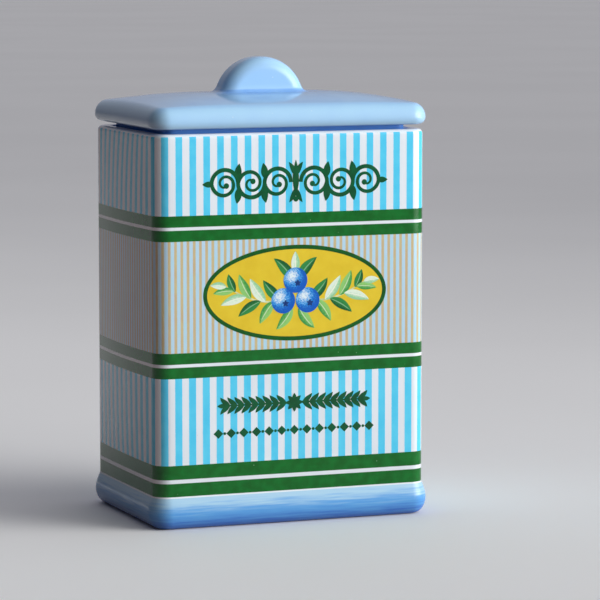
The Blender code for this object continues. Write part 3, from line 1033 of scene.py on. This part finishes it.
def paint_depth_and_shade(mesh):
    """From 0 where the glaze runs thin, over edges, to 1 where it lies deep; under the plate it is
    raised as painted shade.
    """
    points = np.array([corner.co for corner in mesh.vertices])
    from_edge = np.minimum(PLATE_X - np.abs(points[:, 0]), PLATE_Y - np.abs(points[:, 1]))
    over_edge = np.exp(-(((from_edge - 0.0014) / 0.0018) ** 2))
    plate_edge = over_edge * (points[:, 2] > EDGE_LOW + 0.0006)
    reach = np.hypot(points[:, 0], points[:, 2] - KNOB_Z)
    aside = np.abs(points[:, 1])
    on_knob = (points[:, 2] > EDGE_TOP + CROWN + 0.001) & (aside < KNOB_HALF + 0.001)
    bend = np.hypot(reach - (KNOB_RADIUS - 0.0018), aside - (KNOB_HALF - 0.0018))
    knob_edge = np.exp(-((bend / 0.0020) ** 2)) * on_knob
    foot = np.hypot(np.maximum(np.abs(points[:, 0]) - 0.017, 0), np.maximum(aside - 0.0075, 0))
    on_plate = points[:, 2] < EDGE_TOP + CROWN + 0.0015
    pool = np.exp(-foot / 0.004) * on_plate
    flat = np.clip((from_edge - 0.003) / 0.003, 0, 1) * on_plate
    # Under the plate and on the collar: painted shade in the gap over the rim.
    below = np.clip((EDGE_LOW + 0.0004 - points[:, 2]) / 0.0006, 0, 1)
    thickness = PLAIN_COAT - EDGE_LOSS * np.maximum(plate_edge, KNOB_SHARE * knob_edge)
    thickness += FLAT_GAIN * flat + POOL_GAIN * pool + UNDER_SHADE_GAIN * below
    layer = mesh.attributes.new("glaze_depth_and_shade", "FLOAT", "POINT")
    layer.data.foreach_set("value", thickness.astype(np.float32))


make_lid()

# %% [markdown]
# ## The seal
#
# The lid stands almost two millimetres clear of the rim, as it does when a soft ring in the mouth
# holds it. The ring is cloudy silicone, stretched into the collar's groove, with two thin fins
# that lean up and end just short of the walls. Its section goes once round, so this loft is
# closed like a tyre.

# %% Silicone seal
silicone = Finish("silicone", Subsurface_Weight=0.35, Subsurface_Scale=0.002, IOR=1.41)
silicone.shader.inputs["Subsurface Radius"].default_value = (1.0, 1.0, 1.0)
milky = silicone.noise(0.003, 3.0)
silicone.set("Base Color", silicone.mix(milky, "DDE3E4", "C9D1D3"))
silicone.set("Roughness", silicone.ramp(milky, 0.3, 0.7, 0.32, 0.48))
silicone.set("Normal", silicone.bump(silicone.noise(0.0004), 0.00001))

SEAL_BACK, SEAL_FRONT, SEAL_TIP = 0.0023, 0.0013, 0.0003
SEAL_LOW, SEAL_HIGH = RIM_Z - 0.0091, RIM_Z - 0.0037
FIN_REACH = (0.0, 0.55, 0.9, 1.0, 0.97, 0.8, 0.3, 0.0)
FIN_RISE = (0.0, 0.0006, 0.0009, 0.0011, 0.0013, 0.0014, 0.0012, 0.0012)


def seal_section():
    """(Inset from the mouth, height) up the back, over the top and down the fins' side."""
    chamfer = 0.0002
    bottom = [(SEAL_BACK, SEAL_LOW + chamfer), (SEAL_BACK - chamfer, SEAL_LOW)]
    bottom += [(SEAL_FRONT + chamfer, SEAL_LOW), (SEAL_FRONT, SEAL_LOW + chamfer)]
    middle = (SEAL_LOW + SEAL_HIGH) / 2
    fins = []
    for number in range(2):
        root = SEAL_LOW + (middle - SEAL_LOW) * number + 0.0008
        for out, up in zip(FIN_REACH, FIN_RISE):
            fins.append((SEAL_FRONT - out * (SEAL_FRONT - SEAL_TIP), root + up))
    top = [(inset, 2 * middle - z) for inset, z in reversed(bottom)]
    return bottom + fins + top


seal = loft("silicone_seal", [mouth_ring(inset, z) for inset, z in seal_section()], (silicone,))
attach(seal, "lid")
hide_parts("seal_ring")

# %% [markdown]
# ## The floor
#
# A plain pale floor shows the glaze without distracting from it. A pale floor also throws a lot of
# light back up, which would wash out the shaded wall. Light Path tells what kind of ray meets the
# floor: the camera and reflections see it pale, and only the light that bounces off it on to the
# jar is held down and a little warm.

# %% Floor
FLOOR_PALE = ("F2F3F3", "F5F6F6")
FLOOR_BOUNCE = "A4857D"
FLOOR_REACH = 30.0

floor_finish = Finish("floor", Roughness=0.75)
patches = floor_finish.ramp(floor_finish.noise(0.4), 0.3, 0.7)
pale = floor_finish.mix(patches, *FLOOR_PALE)
path = floor_finish.add("LightPath").outputs
seen = floor_finish.math("MAXIMUM", path["Is Camera Ray"], path["Is Glossy Ray"])
seen = floor_finish.math("MAXIMUM", seen, path["Is Transmission Ray"])
floor_finish.set("Base Color", floor_finish.mix(seen, FLOOR_BOUNCE, pale))
corners = [(x * FLOOR_REACH, y * FLOOR_REACH, 0) for x, y in ((-1, -1), (1, -1), (1, 1), (-1, 1))]
floor = make_piece("floor", corners, [(0, 1, 2, 3)], [0], (floor_finish,))
print("the floor is", 2 * FLOOR_REACH, "m wide")

# %% [markdown]
# ## The light
#
# The jar was photographed beside a window. One soft panel stands for it, to the right, and lights
# the front wall at a slant. It points over the jar, and its light is kept narrow with Spread, so
# that the floor at its foot stays calm. It is as large as a window, so it needn't be bright, and
# its image in the glaze stays soft. The sky is dim, but brighter towards the window, and a little
# brighter behind the jar, so that its back can be read. A white wall renders about as white as
# written.

# %% Lamp
WINDOW_PLACE, WINDOW_AIM = (1.38, -0.98, 0.70), (0, 0, 0.50)
WINDOW_SIZE, WINDOW_SPREAD = (1.60, 1.80), 70
WINDOW_POWER = 13.3

bpy.context.scene.view_settings.view_transform = "Standard"
window_data = bpy.data.lights.new("window", "AREA")
window_data.shape = "RECTANGLE"
window_data.size, window_data.size_y = WINDOW_SIZE
window_data.energy, window_data.spread = WINDOW_POWER, math.radians(WINDOW_SPREAD)
window_data.color = (1.0, 0.995, 0.985)
window = put_in_scene("window", window_data)
window.location = WINDOW_PLACE
away = np.subtract(WINDOW_PLACE, WINDOW_AIM)
lean = math.acos(away[2] / np.linalg.norm(away))
window.rotation_euler = (lean, 0.0, math.atan2(away[0], -away[1]))
window.visible_camera = False
print("the window stands", round(math.hypot(*WINDOW_PLACE[:2]), 2), "m from the jar")


# %% Sky
GLOW_FALL = 3.0
DIM_SKY = 0.045
SKY_TINT, WINDOW_TINT = "EDECF8", "FFFDFA"


class Sky(Finish):
    """The world's nodes, written as short as a finish."""

    def __init__(self, name):
        self.world = bpy.data.worlds.new(name)
        self.world.use_nodes = True
        self.tree = self.world.node_tree
        self.shader = self.tree.nodes["Background"]

    def glow(self, side, strength):
        """Light that is strongest on one side of the sky and fades to nothing across it."""
        direction = self.add("TexCoord").outputs["Generated"]
        towards = self.add("VectorMath", direction, side, operation="DOT_PRODUCT").outputs["Value"]
        faded = self.math("POWER", self.math("MAXIMUM", towards, 0.0), GLOW_FALL)
        return self.math("MULTIPLY", faded, strength)


sky = Sky("studio")
window_glow = sky.glow((0.66, -0.66, 0.36), 1.40)
back_glow = sky.glow((0.20, 0.77, 0.60), 0.66)
sky.set("Strength", sky.math("ADD", sky.math("ADD", window_glow, back_glow), DIM_SKY))
sky.set("Color", sky.mix(window_glow, SKY_TINT, WINDOW_TINT))
bpy.context.scene.world = sky.world
